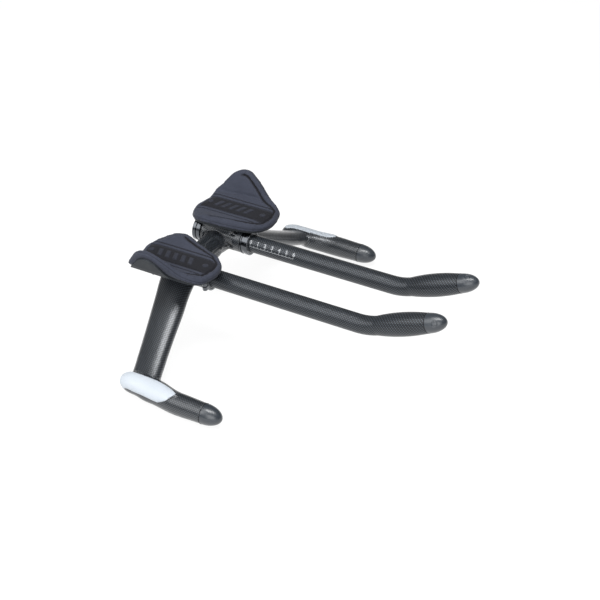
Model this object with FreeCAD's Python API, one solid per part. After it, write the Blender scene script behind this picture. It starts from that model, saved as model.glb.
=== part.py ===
"""Time trial handlebar: a one-piece carbon base bar with two clamped extensions.

Frame: the origin is the middle of the stem clamp zone, +X points forward along the extensions,
+Y points to the rider's left and +Z points up. All sizes are in millimetres.
Everything is modelled for the left side, and the right side is its mirror image.
"""
import FreeCAD
import Part
import math
import os

V = FreeCAD.Vector
X_AXIS = V(1, 0, 0)
Y_AXIS = V(0, 1, 0)
Z_AXIS = V(0, 0, 1)
ORIGIN = V(0, 0, 0)

# Stem clamp zone in the middle of the base bar
CLAMP_DIA = 31.8
CLAMP_LENGTH = 40.0
NECK_STEP = 0.9
NECK_TAPER = 1.5
NECK_RUN = 2.8
BRIDGE_WALL = 3.0
BRIDGE_CAVITY_HALF = 26.0
PASSAGE_DIA = 12.0

# Extension tubes
EXT_DIA = 22.2
EXT_WALL = 1.8
EXT_SPACING = 89.0
EXT_RISE = 5.0
EXT_FIT = 0.05
EXT_TAIL_X = -35.0
BEND_X = 247.5
BEND_ANGLE = 21.7
BEND_RADIUS = 68.0
GRIP_LENGTH = 65.0
GRIP_MAX_DIA = 27.0
GRIP_MAX_AT = 26.0
GRIP_END_DIA = 22.7
GRIP_WALL = 2.2

# Sockets that hold the extensions
SOCKET_DIA = 30.0
SOCKET_FRONT_X = 34.0
SOCKET_REAR_X = -22.0
SLEEVE_WALL = 1.85
SLEEVE_LENGTH = 11.6
SLEEVE_SLIT = 1.6
SLIT_ROOT = 2.0

# Clamp collars on the sleeves
COLLAR_GAP = 0.6
COLLAR_WALL = 2.4
COLLAR_FIT = 0.05
COLLAR_ROUND = 0.8
COLLAR_LIP = 1.6
COLLAR_FLANGE = 4.4
COLLAR_GROOVE = 1.2
EAR_RADIUS = 3.4
EAR_HALF = 5.6
EAR_WALL = 0.6
EAR_ROLL = 80.0
EAR_SLIT = 1.5
BOLT_FIT = 0.05
COLLAR_BOLT_DIA = 4.0
COLLAR_BOLT_HEAD_DIA = 5.8
COLLAR_BOLT_HEAD = 3.0
COLLAR_BOLT_KEY = 2.5
COLLAR_BOLT_TIP_INSET = 1.0

# Grub screw in the inner side of each socket
GRUB_X = 17.5
GRUB_DIA = 4.0
GRUB_KEY = 2.0
GRUB_KEY_DEPTH = 1.6
GRUB_DROP = 3.5
GRUB_PROUD = 0.2
GRUB_TIP_GAP = 1.0

# Wing-shaped arms between the sockets and the horns
ARM_SWEEP_REAR = 0.285
ARM_SWEEP_FRONT = 0.175
ARM_TIP_FLARE = 7.0
ARM_FLARE_POWER = 4
ARM_ROOT_Y = 66.0
ARM_ROOT_REAR_X = -16.7
ARM_ROOT_FRONT_X = 28.5
ARM_ROOT_Z = -2.5
ARM_ROOT_THICK = 22.0
ARM_TIP_THICK = 20.0
ARM_WALL = 2.4
ARM_TEAR = 0.16
ARM_BOW = 0.15
ARM_SECTIONS = 5
FAIRING_Y = 46.0
FAIRING_CHORD = 42.0
FAIRING_THICK = 27.0
FAIRING_Z = 1.5
FAIRING_X = 2.0

# Horns, the level outer grips
HORN_Y = 190.5
HORN_Z = -66.0
HORN_TOE = 4.0
HORN_RISE = 2.0
HORN_CAP_RISE = 3.6
HORN_ROLL = 25.0
HORN_REAR_X = 6.5
HORN_CAP = 21.5
HORN_CAP_STEPS = (0.995, 0.93, 0.8, 0.6, 0.35)
HORN_STEPS = 4
HORN_REAR_WIDTH = 25.6
HORN_REAR_HEIGHT = 22.4
HORN_SWELL_X = 50.0
HORN_SWELL_WIDTH = 29.2
HORN_SWELL_HEIGHT = 24.8
HORN_WAIST_X = 88.0
HORN_WAIST_DIA = 26.0
HORN_SEAM_X = 121.5
HORN_SEAM_DIA = 24.2
HORN_WALL = 4.6
HORN_NOSE = 22.5

# Palm pads let into the horns
PALM_DEPTH = 2.4
PALM_PROUD = 0.8
PALM_FIT = 0.1
PALM_LEAN = 21.0
PALM_INNER_W = 8.8
PALM_OUTER_W = 13.8
PALM_REAR_OUTER_W = 10.4
PALM_REAR_INSET = 3.0
PALM_REAR_ROUND = 10.0
PALM_TIP_X = 88.0
PALM_TIP_W = 0.0
PALM_INNER_BEND_X = 42.0
PALM_OUTER_BEND_X = 66.0
PALM_BELLY = 2.4
PALM_FLOOR = 1.0

# End plugs of the horns and the extensions
PLUG_NOSE = 22.5
PLUG_FIT = 0.05
PLUG_SPIGOT = 16.0
PLUG_CORE_WALL = 2.5
PLUG_CORE_TIP = 13.0
PLUG_CHAMFER = 1.0
PLUG_MARK_AT = 12.0
PLUG_MARK_DIA = 6.0
PLUG_MARK_DEPTH = 0.7
PLUG_MARK_ROLL = {"left": -16.0, "right": 69.0}

# Seats on the sockets, and the spacers on them
SEAT_LENGTH = 42.0
SEAT_WIDTH = 22.0
SEAT_PROUD = 0.3
SEAT_CORNER = 6.0
SEAT_X = 2.0
SPACER_THICK = 1.6
SPACER_INSET = 1.0

# Bolts and inserts that hold the arm cups
CUP_BOLT_DIA = 5.0
CUP_BOLT_PITCH = 26.0
CUP_BOLT_HEAD_DIA = 9.2
CUP_BOLT_SUNK = 0.2
CUP_BOLT_KEY = 3.0
CUP_BOLT_KEY_DEPTH = 1.6
INSERT_DIA = 8.0
INSERT_FLOOR = 0.9
INSERT_FIT = 0.02

# Arm cups and arm pads, three-cornered troughs with turned-up wings
CUP_THICK = 2.4
PAD_FASTENING = 1.2
PAD_THICK = 7.2
PAD_OVERHANG = 1.5
FOLD_INNER_Y = 46.5
FOLD_OUTER_Y = 84.0
INNER_WING_RADIUS = 50.0
INNER_WING_ANGLE = 48.0
OUTER_WING_RADIUS = 27.2
OUTER_WING_ANGLE = 68.0
WING_RUN = 45.0
PAD_OUTER_CORNER = (-1.0, 74.4, 36.2)
PAD_REAR_CORNER = (-18.0, 87.0, 17.5)
PAD_INNER_CORNER = (-7.5, 54.5, 33.2)
PAD_FRONT_CORNER = (29.5, 66.5, 33.5)
SHEET_TOLERANCE = 0.001
GROOVE_RADIUS = 1.2
GROOVE_DEPTH = 0.9
BAND_INSET = 5.5
FASTENING_LENGTH = 62.0
FASTENING_MARGIN = 4.0
FASTENING_CORNER = 6.0

# Places worked out from the sizes above
EXT_Y = EXT_SPACING / 2
BORE_R = EXT_DIA / 2 + EXT_FIT
SLEEVE_R = BORE_R + SLEEVE_WALL
SOCKET_R = SOCKET_DIA / 2
COLLAR_IN_R = SLEEVE_R + COLLAR_FIT
COLLAR_OUT_R = COLLAR_IN_R + COLLAR_WALL
SEAT_Z = EXT_RISE + SOCKET_R + SEAT_PROUD
CUP_Z = SEAT_Z + SPACER_THICK
CUP_TOP_Z = CUP_Z + CUP_THICK
PAD_Z = CUP_TOP_Z + PAD_FASTENING
ARM_TIP_Y = HORN_Y - HORN_TOE
ARM_TIP_Z = HORN_Z + HORN_RISE
LONG = 400.0


def side_shape(shape, side):
    """The left shape itself, or its mirror image for the right side."""
    if side == "left":
        return shape
    return shape.mirror(ORIGIN, Y_AXIS)


def rod_x(x0, x1, radius, y=EXT_Y, z=EXT_RISE):
    """Round bar along X."""
    return Part.makeCylinder(radius, x1 - x0, V(x0, y, z), X_AXIS)


def block(x0, x1, y0, y1, z0, z1):
    """Box between two corners."""
    return Part.makeBox(x1 - x0, y1 - y0, z1 - z0, V(x0, y0, z0))


def hex_prism(across, depth, base, axis):
    """Hexagonal key socket: across flats, depth, start point and direction."""
    circle_r = across / math.sqrt(3)
    points = [V(circle_r * math.cos(math.radians(60 * i)), circle_r * math.sin(math.radians(60 * i)), 0)
              for i in range(7)]
    prism = Part.Face(Part.makePolygon(points)).extrude(Z_AXIS * depth)
    prism.Placement = FreeCAD.Placement(base, FreeCAD.Rotation(Z_AXIS, axis))
    return prism


def oval_wire(centre, axis_a, half_a, axis_b, half_b, tear=0.0):
    """Closed smooth oval, fuller on its +a side when tear is above zero."""
    points = []
    for i in range(16):
        turn = 2 * math.pi * i / 16
        fullness = 1 + tear * math.cos(turn)
        points.append(centre + axis_a * (half_a * math.cos(turn))
                      + axis_b * (half_b * fullness * math.sin(turn)))
    curve = Part.BSplineCurve()
    curve.interpolate(Points=points, PeriodicFlag=True)
    return Part.Wire([curve.toShape()])


def rounded_plate(centre_x, centre_y, length, width, corner, z0, z1):
    """Flat plate with rounded upright corners."""
    plate = block(centre_x - length / 2, centre_x + length / 2,
                  centre_y - width / 2, centre_y + width / 2, z0, z1)
    upright = [edge for edge in plate.Edges if abs(edge.tangentAt(edge.FirstParameter).z) > 0.9]
    return plate.makeFillet(corner, upright)


# Base bar

def arm_station(y):
    """Chord line and depth of the arm at one distance from the middle."""
    run = y - ARM_ROOT_Y
    rear = ARM_ROOT_REAR_X + ARM_SWEEP_REAR * run
    share = run / (ARM_TIP_Y - ARM_ROOT_Y)
    front = ARM_ROOT_FRONT_X + ARM_SWEEP_FRONT * run + ARM_TIP_FLARE * share ** ARM_FLARE_POWER
    thick = ARM_ROOT_THICK + (ARM_TIP_THICK - ARM_ROOT_THICK) * share
    drop = (ARM_TIP_Z - ARM_ROOT_Z) * ((1 + ARM_BOW) * share - ARM_BOW * share ** 3)
    return (rear + front) / 2, ARM_ROOT_Z + drop, (front - rear) / 2, thick / 2


def arm_wire(y, inset):
    """Cross-section of the arm in an upright plane at y."""
    x, z, half_chord, half_thick = arm_station(y)
    return oval_wire(V(x, y, z), X_AXIS, half_chord - inset, Z_AXIS, half_thick - inset, ARM_TEAR)


def arm_stations():
    """Distances from the middle at which the arm is given a section."""
    step = (ARM_TIP_Y - ARM_ROOT_Y) / ARM_SECTIONS
    return [ARM_ROOT_Y + step * i for i in range(ARM_SECTIONS + 1)]


def spar():
    """Outer form of one half: neck, fairing over the socket, and arm."""
    neck_r = CLAMP_DIA / 2 - NECK_STEP
    neck_ends = (CLAMP_LENGTH / 2, CLAMP_LENGTH / 2 + NECK_RUN)
    wires = [oval_wire(V(0, y, 0), X_AXIS, neck_r, Z_AXIS, neck_r) for y in neck_ends]
    wires.append(oval_wire(V(FAIRING_X, FAIRING_Y, FAIRING_Z), X_AXIS, FAIRING_CHORD / 2,
                           Z_AXIS, FAIRING_THICK / 2, ARM_TEAR / 2))
    wires += [arm_wire(y, 0) for y in arm_stations()]
    return Part.makeLoft(wires, True)


def clamp_zone():
    """Round middle of the bar, with a short taper down to each neck that runs on into it."""
    radius = CLAMP_DIA / 2
    half = CLAMP_LENGTH / 2
    middle = Part.makeCylinder(radius, CLAMP_LENGTH, V(0, -half, 0), Y_AXIS)
    taper = Part.makeCone(radius, radius - 2 * NECK_STEP, 2 * NECK_TAPER, V(0, half, 0), Y_AXIS)
    return middle.fuse([taper, side_shape(taper, "right")])


def horn_sections():
    """Axis point, width and height of the horn, from the end of its rear cap to its seam."""
    rear_y = HORN_Y - HORN_TOE
    stations = [(V(HORN_REAR_X + HORN_CAP, rear_y, HORN_Z + HORN_CAP_RISE), HORN_REAR_WIDTH, HORN_REAR_HEIGHT),
                (V(HORN_SWELL_X, rear_y, HORN_Z + HORN_RISE), HORN_SWELL_WIDTH, HORN_SWELL_HEIGHT),
                (V(HORN_WAIST_X, HORN_Y, HORN_Z), HORN_WAIST_DIA, HORN_WAIST_DIA),
                (V(HORN_SEAM_X, HORN_Y, HORN_Z), HORN_SEAM_DIA, HORN_SEAM_DIA)]
    sections = []
    for (centre, width, height), (next_centre, next_width, next_height) in zip(stations, stations[1:]):
        step = next_centre - centre
        for i in range(HORN_STEPS):
            share = i / HORN_STEPS
            ease = (1 - math.cos(math.pi * share)) / 2
            sections.append((centre + V(step.x * share, step.y * ease, step.z * ease),
                             width + (next_width - width) * ease, height + (next_height - height) * ease))
    return sections + stations[-1:]


def horn_wire(centre, half_width, half_height):
    """Oval across the horn, rolled so that its top leans outward."""
    roll = math.radians(HORN_ROLL)
    outward = V(0, math.cos(roll), -math.sin(roll))
    up = V(0, math.sin(roll), math.cos(roll))
    return oval_wire(centre, outward, half_width, up, half_height)


def horn_form(grow):
    """Horn from its rounded rear end to its seam, grown or shrunk all round."""
    sections = horn_sections()
    start, width, height = sections[0]
    wires = []
    for back in HORN_CAP_STEPS:
        share = math.sqrt(1 - back ** 2)
        wires.append(horn_wire(start - X_AXIS * (back * (HORN_CAP + grow)),
                               (width / 2 + grow) * share, (height / 2 + grow) * share))
    for centre, width, height in sections:
        wires.append(horn_wire(centre, width / 2 + grow, height / 2 + grow))
    return Part.makeLoft(wires, True)


def palm_leaf():
    """Upright prism whose outline is that of the palm pad, leaning outward over the horn."""
    lean = math.radians(PALM_LEAN)
    outward = V(0, math.cos(lean), -math.sin(lean))
    up = V(0, math.sin(lean), math.cos(lean))
    base = V(0, ARM_TIP_Y, ARM_TIP_Z) + up * PALM_FLOOR

    def at(x, w):
        return base + X_AXIS * x + outward * w

    rear_x = HORN_REAR_X + PALM_REAR_INSET
    start_x = rear_x + PALM_REAR_ROUND
    rear = at(rear_x, (PALM_REAR_OUTER_W - PALM_INNER_W) / 2)
    tip = at(PALM_TIP_X, PALM_TIP_W)
    inner = at(PALM_INNER_BEND_X, -PALM_INNER_W)
    outer = at(PALM_OUTER_BEND_X, PALM_OUTER_W)
    inner_mid = (inner + tip) * 0.5 - outward * PALM_BELLY
    outer_mid = (outer + tip) * 0.5 + outward * PALM_BELLY + X_AXIS * PALM_BELLY
    edges = [Part.LineSegment(at(start_x, -PALM_INNER_W), inner).toShape(),
             Part.Arc(inner, inner_mid, tip).toShape(),
             Part.Arc(tip, outer_mid, outer).toShape(),
             Part.LineSegment(outer, at(start_x, PALM_REAR_OUTER_W)).toShape(),
             Part.Arc(at(start_x, PALM_REAR_OUTER_W), rear, at(start_x, -PALM_INNER_W)).toShape()]
    return Part.Face(Part.Wire(edges)).extrude(up * HORN_SWELL_HEIGHT)


def palm_pad():
    """Soft inlay on the top of the horn, standing slightly proud of it."""
    return horn_form(PALM_PROUD).common(palm_leaf()).cut(horn_form(PALM_FIT - PALM_DEPTH))


def socket_form():
    """Outer form of one socket: body, thin sleeves for the collars, and the seat of the arm cup."""
    body = rod_x(SOCKET_REAR_X, SOCKET_FRONT_X, SOCKET_R)
    sleeves = rod_x(SOCKET_REAR_X - SLEEVE_LENGTH, SOCKET_FRONT_X + SLEEVE_LENGTH, SLEEVE_R)
    seat = rounded_plate(SEAT_X, EXT_Y, SEAT_LENGTH, SEAT_WIDTH, SEAT_CORNER, EXT_RISE, SEAT_Z)
    return body.fuse([sleeves, seat])


def cup_bolt_places():
    """Positions of the two cup bolts of one side, along X."""
    return [SEAT_X - CUP_BOLT_PITCH / 2, SEAT_X + CUP_BOLT_PITCH / 2]


def insert_floor_z():
    """Height of the bottom of the insert holes, just above the socket's bore."""
    return EXT_RISE + BORE_R + INSERT_FLOOR


def socket_cuts():
    """Bore, sleeve slits, insert holes and grub screw hole of one socket."""
    front = SOCKET_FRONT_X + SLEEVE_LENGTH
    rear = SOCKET_REAR_X - SLEEVE_LENGTH
    cuts = [rod_x(rear, front, BORE_R)]
    low = EXT_RISE - SOCKET_R
    for x0, x1 in ((SOCKET_FRONT_X + SLIT_ROOT, front), (rear, SOCKET_REAR_X - SLIT_ROOT)):
        cuts.append(block(x0, x1, EXT_Y - SLEEVE_SLIT / 2, EXT_Y + SLEEVE_SLIT / 2, low, EXT_RISE))
    for x in cup_bolt_places():
        cuts.append(Part.makeCylinder(INSERT_DIA / 2, SOCKET_R, V(x, EXT_Y, insert_floor_z()), Z_AXIS))
    cuts.append(Part.makeCylinder(GRUB_DIA / 2 + BOLT_FIT, SOCKET_DIA,
                                  V(GRUB_X, EXT_Y, EXT_RISE - GRUB_DROP), V(0, -1, 0)))
    return cuts


def base_bar():
    """Hollow one-piece bar: clamp zone, sockets, arms and horns."""
    half_outer = spar().fuse([socket_form(), horn_form(0)])
    outer = clamp_zone().fuse([half_outer, side_shape(half_outer, "right")])
    cavity_r = CLAMP_DIA / 2 - BRIDGE_WALL
    cuts = [Part.makeCylinder(cavity_r, 2 * BRIDGE_CAVITY_HALF, V(0, -BRIDGE_CAVITY_HALF, 0), Y_AXIS),
            Part.makeCylinder(PASSAGE_DIA / 2, EXT_SPACING, V(0, -EXT_Y, 0), Y_AXIS)]
    arm_cavity = Part.makeLoft([arm_wire(y, ARM_WALL) for y in arm_stations()], True)
    horn_cavity = horn_form(-HORN_WALL)
    palm_recess = palm_leaf().cut(horn_form(-PALM_DEPTH))
    half_cuts = socket_cuts() + [arm_cavity, horn_cavity, palm_recess]
    for side in ("left", "right"):
        cuts += [side_shape(cut, side) for cut in half_cuts]
    return outer.cut(cuts)


def grub_screw():
    """Grub screw through the inner wall of the socket, with a hexagonal key hole."""
    z = EXT_RISE - GRUB_DROP
    inner_y = EXT_Y - math.sqrt(BORE_R ** 2 - GRUB_DROP ** 2) - GRUB_TIP_GAP
    outer_y = EXT_Y - math.sqrt(SOCKET_R ** 2 - GRUB_DROP ** 2) - GRUB_PROUD
    screw = Part.makeCylinder(GRUB_DIA / 2, inner_y - outer_y, V(GRUB_X, outer_y, z), Y_AXIS)
    return screw.cut(hex_prism(GRUB_KEY, GRUB_KEY_DEPTH, V(GRUB_X, outer_y, z), Y_AXIS))


# Extensions

def bend_start_x():
    """X at which the straight tube ends and its bend begins."""
    return BEND_X - BEND_RADIUS * math.tan(math.radians(BEND_ANGLE) / 2)


def grip_point(distance):
    """Point of the extension's axis at one distance along the straight grip."""
    turn = math.radians(BEND_ANGLE)
    start = V(bend_start_x() + BEND_RADIUS * math.sin(turn), EXT_Y, EXT_RISE + BEND_RADIUS * (1 - math.cos(turn)))
    return start + V(math.cos(turn), 0, math.sin(turn)) * distance


def tube_form(inset):
    """Straight tube, bend and spindle-shaped grip, shrunk by inset all round."""
    radius = EXT_DIA / 2 - inset
    start_x = bend_start_x()
    straight = rod_x(EXT_TAIL_X, start_x, radius)
    ring = Part.Face(Part.Wire(Part.Circle(V(start_x, EXT_Y, EXT_RISE), X_AXIS, radius).toShape()))
    bend = ring.revolve(V(start_x, EXT_Y, EXT_RISE + BEND_RADIUS), V(0, -1, 0), BEND_ANGLE)
    profile = Part.BSplineCurve()
    profile.interpolate(Points=[V(0, 0, radius), V(GRIP_MAX_AT, 0, GRIP_MAX_DIA / 2 - inset),
                                V(GRIP_LENGTH, 0, GRIP_END_DIA / 2 - inset)])
    outline = [profile.toShape(),
               Part.LineSegment(V(GRIP_LENGTH, 0, GRIP_END_DIA / 2 - inset), V(GRIP_LENGTH, 0, 0)).toShape(),
               Part.LineSegment(V(GRIP_LENGTH, 0, 0), ORIGIN).toShape(),
               Part.LineSegment(ORIGIN, V(0, 0, radius)).toShape()]
    grip = Part.Face(Part.Wire(outline)).revolve(ORIGIN, X_AXIS, 360)
    grip.rotate(ORIGIN, Y_AXIS, -BEND_ANGLE)
    grip.translate(grip_point(0))
    return straight.fuse([bend, grip])


def extension():
    """Carbon tube, straight through the socket, bent up into a hollow grip."""
    rear_bore = rod_x(EXT_TAIL_X, bend_start_x() / 2, EXT_DIA / 2 - EXT_WALL)
    return tube_form(0).cut([tube_form(GRIP_WALL), rear_bore])


def end_plug(seam_r, nose, bore_r, mark_roll=None):
    """Moulded plug along +X from its seam at the origin: rounded nose, hollow spigot, round mark."""
    nose_edge = Part.Ellipse(V(nose, 0, 0), V(0, 0, seam_r), ORIGIN)
    outline = [Part.ArcOfEllipse(nose_edge, 0, math.pi / 2).toShape(),
               Part.LineSegment(V(0, 0, seam_r), ORIGIN).toShape(),
               Part.LineSegment(ORIGIN, V(nose, 0, 0)).toShape()]
    plug = Part.Face(Part.Wire(Part.sortEdges(outline)[0])).revolve(ORIGIN, X_AXIS, 360)
    spigot_r = bore_r - PLUG_FIT
    shank = Part.makeCylinder(spigot_r, PLUG_SPIGOT - PLUG_CHAMFER, ORIGIN, V(-1, 0, 0))
    lead = Part.makeCone(spigot_r, spigot_r - PLUG_CHAMFER, PLUG_CHAMFER,
                         V(PLUG_CHAMFER - PLUG_SPIGOT, 0, 0), V(-1, 0, 0))
    core_length = PLUG_SPIGOT + nose - PLUG_CORE_TIP
    core = Part.makeCylinder(spigot_r - PLUG_CORE_WALL, core_length, V(-PLUG_SPIGOT, 0, 0), X_AXIS)
    plug = plug.fuse([shank, lead]).cut(core)
    if mark_roll is None:
        return plug
    roll = math.radians(mark_roll)
    radial = V(0, math.sin(roll), math.cos(roll))
    skin_r = seam_r * math.sqrt(1 - (PLUG_MARK_AT / nose) ** 2)
    normal = V(PLUG_MARK_AT * seam_r ** 2, 0, 0) + radial * (skin_r * nose ** 2)
    skin = V(PLUG_MARK_AT, 0, 0) + radial * skin_r
    return plug.cut(Part.makeTorus(PLUG_MARK_DIA / 2, PLUG_MARK_DEPTH, skin, normal.normalize()))


def extension_plug(side):
    """End plug of an extension, in line with the grip."""
    plug = end_plug(GRIP_END_DIA / 2, PLUG_NOSE, GRIP_END_DIA / 2 - GRIP_WALL, PLUG_MARK_ROLL[side])
    plug.rotate(ORIGIN, Y_AXIS, -BEND_ANGLE)
    plug.translate(grip_point(GRIP_LENGTH))
    return plug


def horn_plug():
    """End plug of a horn."""
    plug = end_plug(HORN_SEAM_DIA / 2, HORN_NOSE, HORN_SEAM_DIA / 2 - HORN_WALL)
    plug.translate(V(HORN_SEAM_X, HORN_Y, HORN_Z))
    return plug


# Clamp collars

def collar_span(end):
    """X of the collar's face beside the socket and of its outer face."""
    if end == "front":
        return SOCKET_FRONT_X + COLLAR_GAP, SOCKET_FRONT_X + SLEEVE_LENGTH
    return SOCKET_REAR_X - COLLAR_GAP, SOCKET_REAR_X - SLEEVE_LENGTH


def ring_x(xa, xb, radius):
    """Round bar along X between two places given in either order."""
    return rod_x(min(xa, xb), max(xa, xb), radius)


def ear_centre(end):
    """Middle of the collar's bolt ear, under the outer flange."""
    outer_x = collar_span(end)[1]
    inward = math.copysign(EAR_RADIUS, -outer_x)
    ear_r = COLLAR_IN_R + COLLAR_BOLT_DIA / 2 + BOLT_FIT + EAR_WALL
    return V(outer_x + inward, EXT_Y, EXT_RISE - ear_r)


def rolled_out(shape):
    """Turns a collar's piece about its tube, so that the ear points down and outwards."""
    turned = shape.copy()
    turned.rotate(V(0, EXT_Y, EXT_RISE), X_AXIS, EAR_ROLL)
    return turned


def collar(end):
    """Split ring with a lip, a groove, a rounded outer flange and a bolt ear below."""
    inner_x, outer_x = collar_span(end)
    away = math.copysign(1, outer_x)
    ring = ring_x(inner_x, outer_x, COLLAR_OUT_R)
    rims = [edge for edge in ring.Edges if len(edge.Vertexes) == 1]
    ring = ring.makeFillet(COLLAR_ROUND, rims)
    groove_a = inner_x + away * COLLAR_LIP
    groove_b = outer_x - away * COLLAR_FLANGE
    groove = ring_x(groove_a, groove_b, COLLAR_OUT_R)
    groove = groove.cut(ring_x(groove_a, groove_b, COLLAR_OUT_R - COLLAR_GROOVE))
    middle = ear_centre(end)
    ear = Part.makeCylinder(EAR_RADIUS, 2 * EAR_HALF, middle - Y_AXIS * EAR_HALF, Y_AXIS)
    hole = Part.makeCylinder(COLLAR_BOLT_DIA / 2 + BOLT_FIT, 2 * EAR_HALF, middle - Y_AXIS * EAR_HALF, Y_AXIS)
    head_room = Part.makeCylinder(COLLAR_BOLT_HEAD_DIA / 2 + BOLT_FIT, COLLAR_BOLT_HEAD,
                                  middle - Y_AXIS * EAR_HALF, Y_AXIS)
    slit = block(min(inner_x, outer_x), max(inner_x, outer_x), EXT_Y - EAR_SLIT / 2, EXT_Y + EAR_SLIT / 2,
                 middle.z - EAR_RADIUS, EXT_RISE)
    bore = ring_x(inner_x, outer_x, COLLAR_IN_R)
    return rolled_out(ring.cut(groove).fuse(ear).cut([bore, hole, head_room, slit]))


def collar_bolt(end):
    """Socket head bolt through the ear, with its head in the lower half."""
    bottom = ear_centre(end) - Y_AXIS * EAR_HALF
    shank = Part.makeCylinder(COLLAR_BOLT_DIA / 2, 2 * EAR_HALF - COLLAR_BOLT_TIP_INSET, bottom, Y_AXIS)
    head = Part.makeCylinder(COLLAR_BOLT_HEAD_DIA / 2, COLLAR_BOLT_HEAD, bottom, Y_AXIS)
    key = hex_prism(COLLAR_BOLT_KEY, COLLAR_BOLT_HEAD / 2, bottom, Y_AXIS)
    return rolled_out(head.fuse(shank).cut(key))


# Arm cups and pads

def trough(height):
    """Long open sheet at one height above the cup's underside, bent up at both folds."""
    z = CUP_Z + height
    inner_r = INNER_WING_RADIUS - height
    outer_r = OUTER_WING_RADIUS - height
    inner_turn = math.radians(INNER_WING_ANGLE)
    outer_turn = math.radians(OUTER_WING_ANGLE)

    def inner_at(turn):
        return V(-LONG / 2, FOLD_INNER_Y - inner_r * math.sin(turn), z + inner_r * (1 - math.cos(turn)))

    def outer_at(turn):
        return V(-LONG / 2, FOLD_OUTER_Y + outer_r * math.sin(turn), z + outer_r * (1 - math.cos(turn)))

    wing_end = outer_at(outer_turn) + V(0, math.cos(outer_turn), math.sin(outer_turn)) * WING_RUN
    edges = [Part.Arc(inner_at(inner_turn), inner_at(inner_turn / 2), inner_at(0)).toShape(),
             Part.LineSegment(inner_at(0), outer_at(0)).toShape(),
             Part.Arc(outer_at(0), outer_at(outer_turn / 2), outer_at(outer_turn)).toShape(),
             Part.LineSegment(outer_at(outer_turn), wing_end).toShape()]
    return Part.Wire(edges).extrude(X_AXIS * LONG)


def corner_prism(inset, reach):
    """Upright prism round the corner circles, shrunk by inset, with the two outer ones moved out by reach."""
    circles = [(x, y + out, r - inset) for (x, y, r), out in
               ((PAD_FRONT_CORNER, 0), (PAD_OUTER_CORNER, reach), (PAD_REAR_CORNER, reach), (PAD_INNER_CORNER, 0))]
    nexts = circles[1:] + circles[:1]
    touches = []
    for (x, y, r), (next_x, next_y, next_r) in zip(circles, nexts):
        gap = math.hypot(next_x - x, next_y - y)
        touches.append(math.atan2(next_y - y, next_x - x) - math.acos((r - next_r) / gap))
    edges = []
    for i, ((x, y, r), (next_x, next_y, next_r)) in enumerate(zip(circles, nexts)):
        start = touches[i - 1]
        end = touches[i]
        if end < start:
            end += 2 * math.pi
        arc = [V(x + r * math.cos(a), y + r * math.sin(a), 0) for a in (start, (start + end) / 2, end)]
        next_touch = V(next_x + next_r * math.cos(end), next_y + next_r * math.sin(end), 0)
        edges.append(Part.Arc(*arc).toShape())
        edges.append(Part.LineSegment(arc[2], next_touch).toShape())
    return Part.Face(Part.Wire(edges)).extrude(Z_AXIS * LONG)


def bent_sheet(low, high, inset):
    """Bent sheet between two heights above the cup's underside, its edge square to its surface."""
    height = (low + high) / 2
    pad_height = CUP_THICK + PAD_FASTENING + PAD_THICK / 2
    reach = (pad_height - height) * math.sin(math.radians(OUTER_WING_ANGLE))
    middle = trough(height).common(corner_prism(inset, reach))
    lower = middle.makeOffsetShape((low - high) / 2, SHEET_TOLERANCE)
    return lower.makeOffsetShape(high - low, SHEET_TOLERANCE, fill=True)


def cup_bolt(x):
    """Countersunk bolt from the cup's floor into its insert."""
    top = CUP_TOP_Z - CUP_BOLT_SUNK
    bottom = insert_floor_z()
    radius = CUP_BOLT_DIA / 2
    head_r = CUP_BOLT_HEAD_DIA / 2
    sink = head_r - radius
    shank = Part.makeCylinder(radius, top - sink - bottom, V(x, EXT_Y, bottom), Z_AXIS)
    head = Part.makeCone(radius, head_r, sink, V(x, EXT_Y, top - sink), Z_AXIS)
    key = hex_prism(CUP_BOLT_KEY, CUP_BOLT_KEY_DEPTH, V(x, EXT_Y, top), V(0, 0, -1))
    return shank.fuse(head).cut(key)


def cup_bolt_hole(x):
    """Countersunk clearance hole for a cup bolt."""
    radius = CUP_BOLT_DIA / 2 + BOLT_FIT
    head_r = CUP_BOLT_HEAD_DIA / 2 + BOLT_FIT
    top = CUP_TOP_Z - CUP_BOLT_SUNK
    shank = Part.makeCylinder(radius, top - SEAT_Z, V(x, EXT_Y, SEAT_Z), Z_AXIS)
    sink = Part.makeCone(radius, head_r, head_r - radius, V(x, EXT_Y, top - head_r + radius), Z_AXIS)
    mouth = Part.makeCylinder(head_r, CUP_BOLT_SUNK, V(x, EXT_Y, top), Z_AXIS)
    return shank.fuse([sink, mouth])


def insert(x):
    """Threaded metal insert bonded into the seat."""
    bottom = insert_floor_z()
    body = Part.makeCylinder(INSERT_DIA / 2 - INSERT_FIT, SEAT_Z - bottom, V(x, EXT_Y, bottom), Z_AXIS)
    return body.cut(Part.makeCylinder(CUP_BOLT_DIA / 2 + BOLT_FIT, SEAT_Z, V(x, EXT_Y, bottom), Z_AXIS))


def cup_spacer():
    """Plate between the socket's seat and the cup, shaped to the cup's underside."""
    plate = rounded_plate(SEAT_X, EXT_Y, SEAT_LENGTH - 2 * SPACER_INSET, SEAT_WIDTH - 2 * SPACER_INSET,
                          SEAT_CORNER - SPACER_INSET, SEAT_Z, CUP_TOP_Z - CUP_BOLT_SUNK)
    return plate.cut([arm_cup()] + [cup_bolt_hole(x) for x in cup_bolt_places()])


def arm_cup():
    """Thin moulded cup under the pad."""
    cup = bent_sheet(0, CUP_THICK, PAD_OVERHANG)
    return cup.cut([cup_bolt_hole(x) for x in cup_bolt_places()])


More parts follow.
